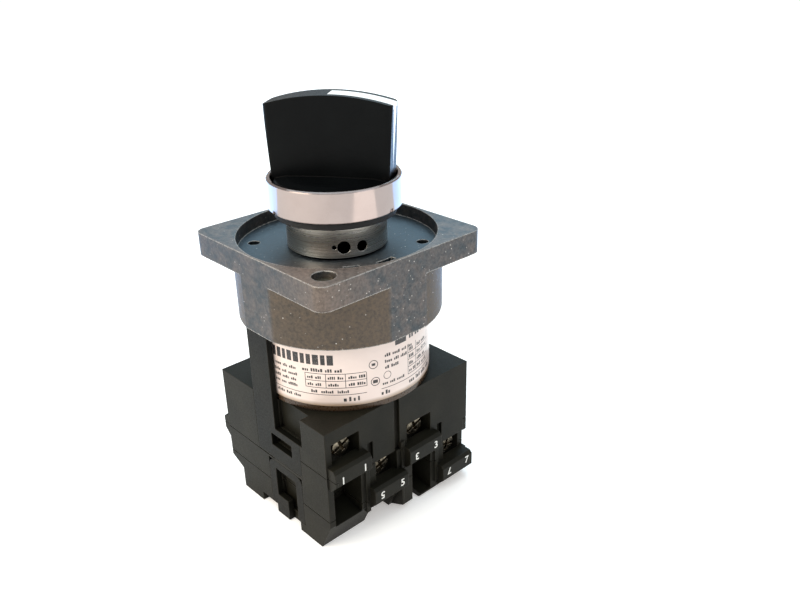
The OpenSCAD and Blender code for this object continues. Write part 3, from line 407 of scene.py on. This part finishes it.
label_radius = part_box("rating_label")[1].y
ink_thick = 0.012 * mm
print_radius = label_radius + ink_thick
print_mesh = bmesh.new()
longest_step = 2.5
large_print = 1.4
rule = 0.14
rule_turn = math.degrees(rule * mm / print_radius)


def on_drum(angle, height):
    """A point of the print, from degrees round the drum and millimetres above the base."""
    turn = math.radians(angle)
    return (print_radius * math.cos(turn), print_radius * math.sin(turn), height * mm)


def bar(left, low, right, high):
    """One printed bar between two angles and two heights, in short faces that follow the drum."""
    steps = max(1, round((right - left) / longest_step))
    columns = []
    for i in range(steps + 1):
        angle = left + (right - left) * i / steps
        columns.append([print_mesh.verts.new(on_drum(angle, z)) for z in (low, high)])
    for (a, b), (c, d) in zip(columns, columns[1:]):
        print_mesh.faces.new((a, c, d, b))


def words(left, right, low, tall, long, gap, seed):
    """A line of words of uneven length, each a row of plain blocks, of one height if it is large.

    Ends, word length and gap are in degrees, and the foot and the height are in millimetres.
    """
    rng = random.Random(seed)
    block = math.degrees(0.5 * tall * mm / print_radius)
    heights = (1.0,) if tall > large_print else (0.7, 1.0)
    while left < right - long / 2:
        end = min(right, left + long * rng.uniform(0.6, 1.4))
        while left < end:
            wide = block * rng.uniform(0.7, 1.2)
            bar(left, low, left + wide, low + tall * rng.choice(heights))
            left += wide + 0.35 * block
        left += gap


def level_rules(left, right, *heights):
    """Thin rules between two angles, one at each height."""
    for height in heights:
        bar(left, height, right, height + rule)


def upright_rules(low, high, *angles):
    """Thin rules between two heights, one at each angle."""
    for angle in angles:
        bar(angle, low, angle + rule_turn, high)


def ring(angle, height, radius, line):
    """A printed ring of a line's width, left without a mark."""
    steps = 24
    loops = []
    for r in (radius - line, radius):
        loop = []
        for i in range(steps):
            t = 2 * math.pi * i / steps
            across = math.degrees(r * math.cos(t) * mm / print_radius)
            loop.append(print_mesh.verts.new(on_drum(angle + across, height + r * math.sin(t))))
        loops.append(loop)
    inner, outer = loops
    for i in range(steps):
        j = (i + 1) % steps
        print_mesh.faces.new((inner[i], outer[i], outer[j], inner[j]))


# Left panel: a heading, two lines, a column of small print, a table and the foot lines.
foot_rule = 35.7
words(-87.5, -46.5, 43.0, 2.4, 58.0, 1.1, 4)
words(-86.0, -70.0, 41.1, 0.75, 4.5, 1.2, 7)
words(-65.0, -40.0, 41.3, 0.8, 5.0, 1.3, 8)
for row in range(3):
    words(-87.0, -66.5, 39.6 - 1.35 * row, 0.7, 4.5, 1.3, 11 + row)
table_left, table_right = -63.5, -25.5
table_low, table_mid, table_high = 37.4, 39.1, 40.8
level_rules(table_left, table_right, table_low, table_mid, table_high)
upright_rules(table_low, table_high, table_left, -50.5, -38.5, table_right)
for column in (-62.0, -49.0, -36.5):
    for height in (37.9, 39.6):
        words(column, column + 9.5, height, 0.7, 4.5, 1.2, column * height)
level_rules(-87.5, -25.5, foot_rule)
words(-60.0, -33.0, 36.2, 0.7, 5.5, 2.2, 21)
words(-86.0, -68.0, 34.5, 0.7, 4.0, 1.3, 22)
words(-40.0, -28.0, 34.1, 1.1, 1.6, 0.9, 23)

# Middle: three rings, two of them round a block.
ring(-20.7, 42.2, 1.05, 0.16)
ring(-19.8, 38.0, 1.05, 0.16)
ring(-11.5, 38.8, 0.95, 0.13)
bar(-21.4, 37.6, -18.2, 38.4)
bar(-21.9, 41.9, -19.5, 42.5)

# Right panel: a solid block, a heading, three lines, a table and the foot lines.
bar(-5.3, 45.2, 3.8, 47.4)
words(6.5, 27.0, 45.4, 1.5, 4.0, 1.2, 31)
for row in range(3):
    words(-13.0, 9.0 - 5 * row, 43.3 - 1.45 * row, 0.75, 4.5, 1.3, 41 + row)
level_rules(5.0, 30.0, 41.9, 40.2, 38.4, 36.6)
upright_rules(36.6, 43.9, 5.0, 13.0, 29.7)
for row in range(4):
    height = 37.1 + 1.75 * row
    words(6.2, 12.5, height, 0.8, 3.0, 1.0, 51 + row)
    words(14.5, 27.0, height, 0.8, 4.0, 1.3, 61 + row)
words(-15.0, 1.0, 36.6, 0.7, 4.0, 1.3, 71)
level_rules(-16.0, 34.0, foot_rule)
words(-16.0, -9.0, 34.2, 1.0, 2.5, 0.9, 72)
words(6.0, 33.0, 34.3, 1.0, 4.5, 1.5, 73)

label_print = piece_of("label_print", print_mesh, label_ink)
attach(label_print, "housing")


# Terminal numbers: hot stamped in white on the lip under each screw, once the right way up
# and once upside down, so that they read from either end of the switch. The foil has chipped.

foil_patch = 0.3 * mm
stamp_white, tree, shader, place = begin("hot_stamped_white", IOR=1.5, Roughness=0.5)
patchy = add(tree, "ShaderNodeTexNoise", {"Vector": place, "Scale": 1 / foil_patch, "Detail": 3})
chipped = add(tree, "ShaderNodeMix", {0: patchy.outputs["Fac"], 6: linear("#f6f5f0"),
              7: linear("#c9c6bc")}, data_type="RGBA")
tree.links.new(chipped.outputs[2], shader.inputs["Base Color"])

number_tall = 1.8
number_bold = 0.045 * mm
cap_share = 0.7
lip_face = 21.82
top_lip, lip_step = 20.4, 4.97
inverted_at, upright_at = -2.95, 3.2
stamps = bmesh.new()
for side, levels in ((1, (0, 2, 1, 3)), (-1, (1, 3, 0, 2))):
    for i, level in enumerate(levels):
        middle = (i - 1.5) * bay
        height = top_lip - level * lip_step
        for offset, upright in ((side * inverted_at, False), (side * upright_at, True)):
            letter = bpy.data.curves.new("stamp", "FONT")
            letter.body = str(2 * level + (1 if side > 0 else 2))
            letter.size = number_tall / cap_share * mm
            letter.align_x = "CENTER"
            letter.align_y = "CENTER"
            letter.offset = number_bold
            carrier = bpy.data.objects.new("stamp", letter)
            scene.collection.objects.link(carrier)
            graph = bpy.context.evaluated_depsgraph_get()
            flat = bpy.data.meshes.new_from_object(carrier.evaluated_get(graph))
            spun = Matrix.Rotation(0 if upright else math.pi, 4, "Z")
            stood = Matrix(((0, 0, side, 0), (side, 0, 0, 0), (0, 1, 0, 0), (0, 0, 0, 1)))
            spot = Vector((side * lip_face, middle + offset, height)) * mm
            flat.transform(Matrix.Translation(spot) @ stood @ spun)
            stamps.from_mesh(flat)
            bpy.data.objects.remove(carrier)
            bpy.data.meshes.remove(flat)
terminal_numbers = piece_of("terminal_numbers", stamps, stamp_white)
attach(terminal_numbers, "housing")


# Adaptor: one zinc die casting, left raw, so that it has a grey skin with cold streaks, bright
# specks and small pits. Its lower boss and one corner are coloured brown, the floor of the recess
# is coloured darker, the flanks are darkened with painted shade, and the edges are rubbed bright.

half_flange = 22.5 * mm
flange_foot, recess_floor = 61.0 * mm, 62.8 * mm
recess_r = 22.2 * mm
streak_wide, pit_wide, speck_apart = 2.6 * mm, 0.7 * mm, 0.9 * mm
edge_soft, pit_deep = 0.4 * mm, 0.12 * mm
top_start, top_end = 9 * mm, 17 * mm
flank_start, flank_end = 22 * mm, 31 * mm
fade = 0.1 * mm

casting, tree, shader, place = begin("raw_zinc_die_casting", Metallic=0.9)
soft, worn = worn_edges(tree, edge_soft)
flow = add(tree, "ShaderNodeTexNoise", {"Vector": place, "Scale": 1 / streak_wide, "Detail": 8,
           "Roughness": 0.7, "Distortion": 0.5})
skin = add(tree, "ShaderNodeTexNoise", {"Vector": place, "Scale": 1 / pit_wide, "Detail": 5,
           "Roughness": 0.65})
level = add(tree, "ShaderNodeMapRange", {"Value": flow.outputs["Fac"], "From Min": 0.38,
            "From Max": 0.62})
grey = add(tree, "ShaderNodeMix", {0: level.outputs["Result"], 6: linear("#565c60"),
           7: linear("#78716e")}, data_type="RGBA")

# Brown on the boss and the underside, but not on the flange's own flanks.
spot = add(tree, "ShaderNodeSeparateXYZ", {"Vector": place})
across = add(tree, "ShaderNodeMath", {0: spot.outputs["X"]}, operation="ABSOLUTE")
along = add(tree, "ShaderNodeMath", {0: spot.outputs["Y"]}, operation="ABSOLUTE")
outer = add(tree, "ShaderNodeMath", {0: across.outputs["Value"], 1: along.outputs["Value"]},
            operation="MAXIMUM")
turned_in = add(tree, "ShaderNodeMapRange", {"Value": outer.outputs["Value"],
                "From Min": half_flange - 0.1 * fade, "From Max": half_flange - 2 * fade})
low = add(tree, "ShaderNodeMapRange", {"Value": spot.outputs["Z"],
          "From Min": flange_foot + 2 * fade, "From Max": flange_foot - 6 * fade})
under = add(tree, "ShaderNodeMath", {0: low.outputs["Result"], 1: turned_in.outputs["Result"]},
            operation="MULTIPLY")
brown_mottle = add(tree, "ShaderNodeMapRange", {"Value": skin.outputs["Fac"], "From Min": 0.3,
            "From Max": 0.6, "To Min": 0.6, "To Max": 1.0})
boss_brown = add(tree, "ShaderNodeMath", {0: under.outputs["Value"], 1: brown_mottle.outputs["Result"]},
           operation="MULTIPLY")
browned = add(tree, "ShaderNodeMix", {0: boss_brown.outputs["Value"], 6: grey.outputs[2],
              7: linear("#6c6054")}, data_type="RGBA")

# Warm corner: a warmer tone towards the corner at +X and -Y, which starts nearer the axis on
# the top than on the flanks.
cornerwise = add(tree, "ShaderNodeVectorMath", {0: place, 1: (0.7071, -0.7071, 0)},
                 operation="DOT_PRODUCT")
facing_to = add(tree, "ShaderNodeSeparateXYZ",
                {"Vector": add(tree, "ShaderNodeNewGeometry").outputs["Normal"]})
rising = add(tree, "ShaderNodeMath", {0: facing_to.outputs["Z"]}, operation="ABSOLUTE")
flank = add(tree, "ShaderNodeMapRange", {"Value": rising.outputs["Value"], "From Min": 0.6,
            "From Max": 0.3})
on_top = add(tree, "ShaderNodeMapRange", {"Value": cornerwise.outputs["Value"],
             "From Min": top_start, "From Max": top_end, "To Max": 0.85})
on_flank = add(tree, "ShaderNodeMapRange", {"Value": cornerwise.outputs["Value"],
               "From Min": flank_start, "From Max": flank_end, "To Max": 0.85})
corner_warmth = add(tree, "ShaderNodeMix", {0: flank.outputs["Result"], 2: on_top.outputs["Result"],
              3: on_flank.outputs["Result"]}, data_type="FLOAT")
above = add(tree, "ShaderNodeMath", {0: 1.0, 1: under.outputs["Value"]}, operation="SUBTRACT")
corner_tint = add(tree, "ShaderNodeMath", {0: corner_warmth.outputs[0], 1: above.outputs["Value"]},
              operation="MULTIPLY")
warmed = add(tree, "ShaderNodeMix", {0: corner_tint.outputs["Value"], 6: browned.outputs[2],
             7: linear("#8a7b71")}, data_type="RGBA")

# Dark floor of the recess: below the top, inside the round wall and above the boss.
sunken = add(tree, "ShaderNodeMapRange", {"Value": spot.outputs["Z"],
             "From Min": recess_floor + 4 * fade, "From Max": recess_floor + fade})
on_plan = add(tree, "ShaderNodeVectorMath", {0: place, 1: (1, 1, 0)}, operation="MULTIPLY")
from_axis = add(tree, "ShaderNodeVectorMath", {0: on_plan.outputs["Vector"]}, operation="LENGTH")
inward = add(tree, "ShaderNodeMapRange", {"Value": from_axis.outputs["Value"],
             "From Min": recess_r + fade, "From Max": recess_r - 2 * fade})
in_recess = add(tree, "ShaderNodeMath", {0: sunken.outputs["Result"], 1: inward.outputs["Result"]},
                operation="MULTIPLY")
off_corner = add(tree, "ShaderNodeMath", {0: corner_warmth.outputs[0], 1: -1.0, 2: 1.0},
                operation="MULTIPLY_ADD")
darkest = add(tree, "ShaderNodeMath", {0: in_recess.outputs["Value"],
              1: off_corner.outputs["Value"]}, operation="MULTIPLY")
recess_darkening = add(tree, "ShaderNodeMath", {0: darkest.outputs["Value"], 1: low.outputs["Result"]},
                 operation="SUBTRACT", use_clamp=True)
darkened = add(tree, "ShaderNodeMix", {0: recess_darkening.outputs["Value"], 6: warmed.outputs[2],
               7: linear("#4d565c")}, data_type="RGBA")

# Skin: pitted grain over all of it, flanks darkened with painted shade, bright specks and chipped
# bright edges.
grain = add(tree, "ShaderNodeMapRange", {"Value": skin.outputs["Fac"], "From Min": 0.32,
            "From Max": 0.68, "To Min": 0.62, "To Max": 1.35})
# The flanks are made darker than the top by painted shade.
duller = add(tree, "ShaderNodeMapRange", {"Value": flank.outputs["Result"], "To Min": 1.0,
             "To Max": 0.68})
shaded = add(tree, "ShaderNodeMath", {0: grain.outputs["Result"], 1: duller.outputs["Result"]},
             operation="MULTIPLY")
speckled = add(tree, "ShaderNodeVectorMath", {0: darkened.outputs[2], 1: shaded.outputs["Value"]},
               operation="MULTIPLY")
specks = add(tree, "ShaderNodeTexVoronoi", {"Vector": place, "Scale": 1 / speck_apart})
speck = add(tree, "ShaderNodeMapRange", {"Value": specks.outputs["Distance"], "From Min": 0.17,
            "From Max": 0.08})
pick = add(tree, "ShaderNodeSeparateColor", {"Color": specks.outputs["Color"]})
few = add(tree, "ShaderNodeMapRange", {"Value": pick.outputs["Red"], "From Min": 0.7,
          "From Max": 1.0})
shown = add(tree, "ShaderNodeMath", {0: speck.outputs["Result"], 1: few.outputs["Result"]},
            operation="MULTIPLY")
chipped = add(tree, "ShaderNodeMapRange", {"Value": skin.outputs["Fac"], "From Min": 0.3,
              "From Max": 0.55})
bright = add(tree, "ShaderNodeMath", {0: worn, 1: chipped.outputs["Result"]}, operation="MULTIPLY")
glint = add(tree, "ShaderNodeMath", {0: bright.outputs["Value"], 1: shown.outputs["Value"]},
            operation="MAXIMUM")
face = add(tree, "ShaderNodeMix", {0: glint.outputs["Value"], 6: speckled.outputs["Vector"],
           7: linear("#cfcac3")}, data_type="RGBA")
tree.links.new(face.outputs[2], shader.inputs["Base Color"])
dull = add(tree, "ShaderNodeMapRange", {"Value": skin.outputs["Fac"], "From Min": 0.3,
           "From Max": 0.7, "To Min": 0.42, "To Max": 0.66})
tree.links.new(dull.outputs["Result"], shader.inputs["Roughness"])
bump = add(tree, "ShaderNodeBump", {"Height": skin.outputs["Fac"], "Strength": 0.5,
           "Distance": pit_deep, "Normal": soft})
tree.links.new(bump.outputs["Normal"], shader.inputs["Normal"])
dress(["adaptor_casting"], casting)


# Clamp screws: two steel screws in corners of the casting, tightened to clamp it to the panel.
# They are cold headed and zinc plated, and the zinc has gone dull.

zinc_steel = bare("zinc_plated_steel", "#a79f8c", "#7c7567", 0.32, 0.7 * mm, (1, 1, 1),
                  0.12 * mm, 0.015 * mm)
dress(["clamp_screws"], zinc_steel)


# Barrel and spindle: turned from free cutting brass alloy and nickel dipped thin, so that they
# look brown grey. The lathe left fine rings round them, and the walls of the cross holes are
# painted near black as shade.

turned = bare("turned_thin_plated_metal", "#e2dfd8", "#aba69d", 0.3, 0.25 * mm, (0.02, 0.02, 1),
              0.15 * mm, 0.01 * mm)
dress(["head_spindle"], turned)

# The barrel's own metal: what lies nearer the axis than its skin is the wall of a cross hole, painted
# near black as shade.
skin_r, bore_r = 10.85 * mm, 10.7 * mm
barrel_metal = turned.copy()
barrel_metal.name = "turned_metal_with_dark_bores"
tree = barrel_metal.node_tree
shader = tree.nodes["Principled BSDF"]
place = tree.nodes["Texture Coordinate"].outputs["Object"]
level_place = add(tree, "ShaderNodeVectorMath", {0: place, 1: (1, 1, 0)}, operation="MULTIPLY")
from_axis = add(tree, "ShaderNodeVectorMath", {0: level_place.outputs["Vector"]}, operation="LENGTH")
in_bore = add(tree, "ShaderNodeMapRange", {"Value": from_axis.outputs["Value"],
              "From Min": skin_r, "From Max": bore_r})
lathed = shader.inputs["Base Color"].links[0].from_socket
bore_shaded = add(tree, "ShaderNodeMix", {0: in_bore.outputs["Result"], 6: lathed,
            7: linear("#0b0a09")}, data_type="RGBA")
tree.links.new(bore_shaded.outputs[2], shader.inputs["Base Color"])
dress(["head_barrel"], barrel_metal)


# Gasket: a moulded ring of nitrile rubber below the bezel, which the bezel squeezes onto the
# panel. It is matt black, and a little chalky at its edges.

rubber = moulded("nitrile_rubber", "#0d0d0e", "#161616", "#2c2b2a", 0.2 * mm, 0.68,
                 0.25 * mm, 0.02 * mm, IOR=1.52)
dress(["bezel_gasket"], rubber)


# Bezel: a drawn ring, polished and chrome plated. It mirrors the room, with a faint ripple of
# the polishing wheel and a few finger smudges.

smudge_wide, wheel_wide, wheel_deep = 4 * mm, 2.2 * mm, 0.05 * mm
lip_soft = 0.3 * mm
chrome, tree, shader, place = begin("polished_chrome_plate", Metallic=1.0)
soft = add(tree, "ShaderNodeBevel", {"Radius": lip_soft}, samples=4).outputs["Normal"]
smudge = add(tree, "ShaderNodeTexNoise", {"Vector": place, "Scale": 1 / smudge_wide, "Detail": 4})
clean = add(tree, "ShaderNodeMapRange", {"Value": smudge.outputs["Fac"], "From Min": 0.4,
            "From Max": 0.75, "To Min": 0.06, "To Max": 0.2})
tree.links.new(clean.outputs["Result"], shader.inputs["Roughness"])
tint = add(tree, "ShaderNodeMix", {0: smudge.outputs["Fac"], 6: linear("#a39692"),
           7: linear("#988b87")}, data_type="RGBA")
tree.links.new(tint.outputs[2], shader.inputs["Base Color"])
upright = add(tree, "ShaderNodeMapping", {"Vector": place, "Scale": (1, 1, 0.05)})
wheel = add(tree, "ShaderNodeTexNoise", {"Vector": upright.outputs["Vector"],
            "Scale": 1 / wheel_wide, "Detail": 2})
bump = add(tree, "ShaderNodeBump", {"Height": wheel.outputs["Fac"], "Strength": 0.3,
           "Distance": wheel_deep, "Normal": soft})
tree.links.new(bump.outputs["Normal"], shader.inputs["Normal"])
dress(["bezel_ring"], chrome)


# Handle: one moulding of satin black ABS, with a white ABS pointer pressed into its blade.
# The satin comes from a spark eroded tool; thumbs have polished it in patches.

# Its edges take the paler rubbed tone, which here is partly wear and partly a painted highlight.
satin_black = moulded("satin_black_abs", "#040506", "#080a0b", "#2c2b29", 0.35 * mm,
                      0.38, 0.35 * mm, 0.015 * mm, wear=0.35, Specular_IOR_Level=0.08)
dress(["handle"], satin_black)
white_abs = moulded("white_abs", "#fcfbf8", "#f1f0ec", "#ffffff", 0.3 * mm,
                    0.36, 0.15 * mm, 0.01 * mm, wear=0.3, Specular_IOR_Level=0.35)
dress(["pointer_inlay"], white_abs)


# Studio: a pale paper sweep that the switch stands on, soft boxes left, right, behind and
# above, two cards that gleam on the chrome, and the camera where the photograph was taken from.

paper_cloud = 60 * mm
paper, tree, shader, place = begin("white_paper", Roughness=0.9, Emission_Strength=0.34,
                                   Emission_Color=linear("#fffaf5"))
fibre = add(tree, "ShaderNodeTexNoise", {"Vector": place, "Scale": 1 / paper_cloud, "Detail": 3})
tone = add(tree, "ShaderNodeMix", {0: fibre.outputs["Fac"], 6: linear("#f7f6f5"),
           7: linear("#f3f2f1")}, data_type="RGBA")
tree.links.new(tone.outputs[2], shader.inputs["Base Color"])
floor_reach = 6.0
sweep = bmesh.new()
corners = [sweep.verts.new((x * floor_reach, y * floor_reach, 0))
           for x, y in ((-1, -1), (1, -1), (1, 1), (-1, 1))]
sweep.faces.new(corners)
floor = piece_of("floor", sweep, paper)

aim = Vector((0, 0, 0.045))


def area_lamp(name, wide, deep, power, colour):
    """A flat lamp of a size in metres and a power in watts, still to be placed."""
    lamp = bpy.data.lights.new(name, "AREA")
    lamp.shape = "RECTANGLE"
    lamp.size = wide
    lamp.size_y = deep
    lamp.energy = power
    lamp.color = linear(colour)[:3]
    carrier = bpy.data.objects.new(name, lamp)
    scene.collection.objects.link(carrier)
    return carrier


def soft_box(name, azimuth, elevation, distance, size, power, colour):
    """A square soft box that looks at the switch from an azimuth and an elevation in degrees."""
    carrier = area_lamp(name, size, size, power, colour)
    a, e = math.radians(azimuth), math.radians(elevation)
    away = Vector((math.cos(a) * math.cos(e), math.sin(a) * math.cos(e), math.sin(e)))
    carrier.location = aim + away * distance
    carrier.rotation_euler = away.to_track_quat("Z", "Y").to_euler()


soft_box("key", -100, 34, 0.75, 0.45, 4.6, "#fff4e2")
soft_box("fill", 15, 26, 0.8, 0.4, 0.9, "#eef4ff")
soft_box("back", 132, 44, 0.8, 0.6, 3.0, "#b4dcf2")
soft_box("overhead", 0, 90, 2.2, 4.0, 50.0, "#d6ecf8")


def gloss_card(name, azimuth, distance, wide, deep, power, colour):
    """A card that lies beside the switch and shows only as a gleam on what is polished."""
    above_paper = 2 * mm
    carrier = area_lamp(name, wide, deep, power, colour)
    a = math.radians(azimuth)
    carrier.location = (distance * math.cos(a), distance * math.sin(a), above_paper)
    carrier.rotation_euler = (math.pi, 0, a + math.pi / 2)
    carrier.visible_camera = False
    carrier.visible_diffuse = False
    carrier.visible_transmission = False


gloss_card("sky_card", 142, 0.34, 1.2, 0.5, 5.0, "#4a9fee")
gloss_card("window_card", 10, 0.26, 0.16, 0.3, 0.12, "#fff4ea")

world = bpy.data.worlds.new("room")
scene.world = world
world.use_nodes = True
walls = world.node_tree.nodes["Background"]
walls.inputs["Color"].default_value = linear("#fbf8f5")
walls.inputs["Strength"].default_value = 0.55
scene.view_settings.view_transform = "Standard"

camera_spot = (0.1297, -0.1020, 0.1261)
yaw, pitch, roll = math.radians(47.15), math.radians(25.30), math.radians(-1.24)
right = Vector((math.cos(yaw), math.sin(yaw), 0))
back = Vector((math.sin(yaw) * math.cos(pitch), -math.cos(yaw) * math.cos(pitch), math.sin(pitch)))
up = back.cross(right)
tilted_right = math.cos(roll) * right + math.sin(roll) * up
tilted_up = math.cos(roll) * up - math.sin(roll) * right
lens = bpy.data.cameras.new("camera")
lens.sensor_width = 36
lens.lens = 35.84
lens.clip_start = 0.01
lens.clip_end = 50
camera = bpy.data.objects.new("camera", lens)
stance = Matrix((tilted_right, tilted_up, back)).transposed().to_4x4()
camera.matrix_world = Matrix.Translation(camera_spot) @ stance
scene.collection.objects.link(camera)
scene.camera = camera
